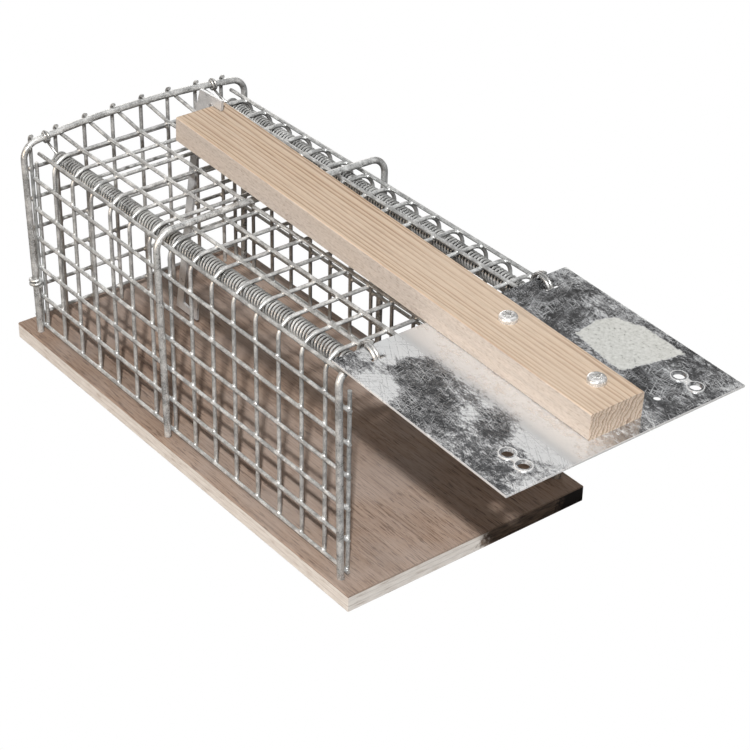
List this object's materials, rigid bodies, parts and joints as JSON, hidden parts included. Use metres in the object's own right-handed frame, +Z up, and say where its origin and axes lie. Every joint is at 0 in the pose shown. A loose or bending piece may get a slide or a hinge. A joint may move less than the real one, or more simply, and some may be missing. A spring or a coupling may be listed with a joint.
{
  "type": "live catch trap",
  "caption": "Wire cage trap on a board, with a sprung drop door on a wooden lever that a bait trigger holds open.",
  "frame": {"origin": "centre of the base board's flat underside", "axes": "+X towards the door end, +Y to the far side, +Z up"},
  "size_m": [0.2817, 0.1034, 0.1112],
  "materials": {
    "board_ply": "plywood, brown face veneer, cream edges",
    "hoop_wire": "dull galvanised steel wire",
    "mesh_wire": "welded galvanised mesh",
    "tie_wire": "soft galvanised tie wire",
    "spring_wire": "zinc-plated spring wire",
    "plate_sheet": "bright galvanised sheet, scratched",
    "arm_pine": "bare sawn pine",
    "screw_zinc": "zinc-plated screws",
    "trigger_sheet": "galvanised sheet"
  },
  "bodies": {
    "cage": {"base_board": "board_ply", "rear_hoop": "hoop_wire", "middle_hoop": "hoop_wire", "front_hoop": "hoop_wire", "near_wall_mesh": "mesh_wire", "roof_mesh": "mesh_wire", "far_wall_mesh": "mesh_wire", "rear_wall_mesh": "mesh_wire", "rear_leg_tie": "tie_wire", "near_spring": "spring_wire", "far_spring": "spring_wire"},
    "door": {"door_plate": "plate_sheet", "door_arm": "arm_pine", "arm_screws": "screw_zinc", "near_hinge_ring": "spring_wire", "far_hinge_ring": "spring_wire"},
    "trigger": {"trigger_plate": "trigger_sheet"}
  },
  "joints": [
    {"name": "door_hinge", "type": "hinge", "parent": "cage", "child": "door", "pos_m": [0.0962, -0.0021, 0.0884], "axis": [0, 1, 0], "range_deg": [0, 87.5], "deforming": ["near_spring", "far_spring"]},
    {"name": "trigger_pivot", "type": "hinge", "parent": "cage", "child": "trigger", "pos_m": [-0.0573, 0.00245, 0.0845], "axis": [0, -1, 0], "range_deg": [0, 30]}
  ]
}
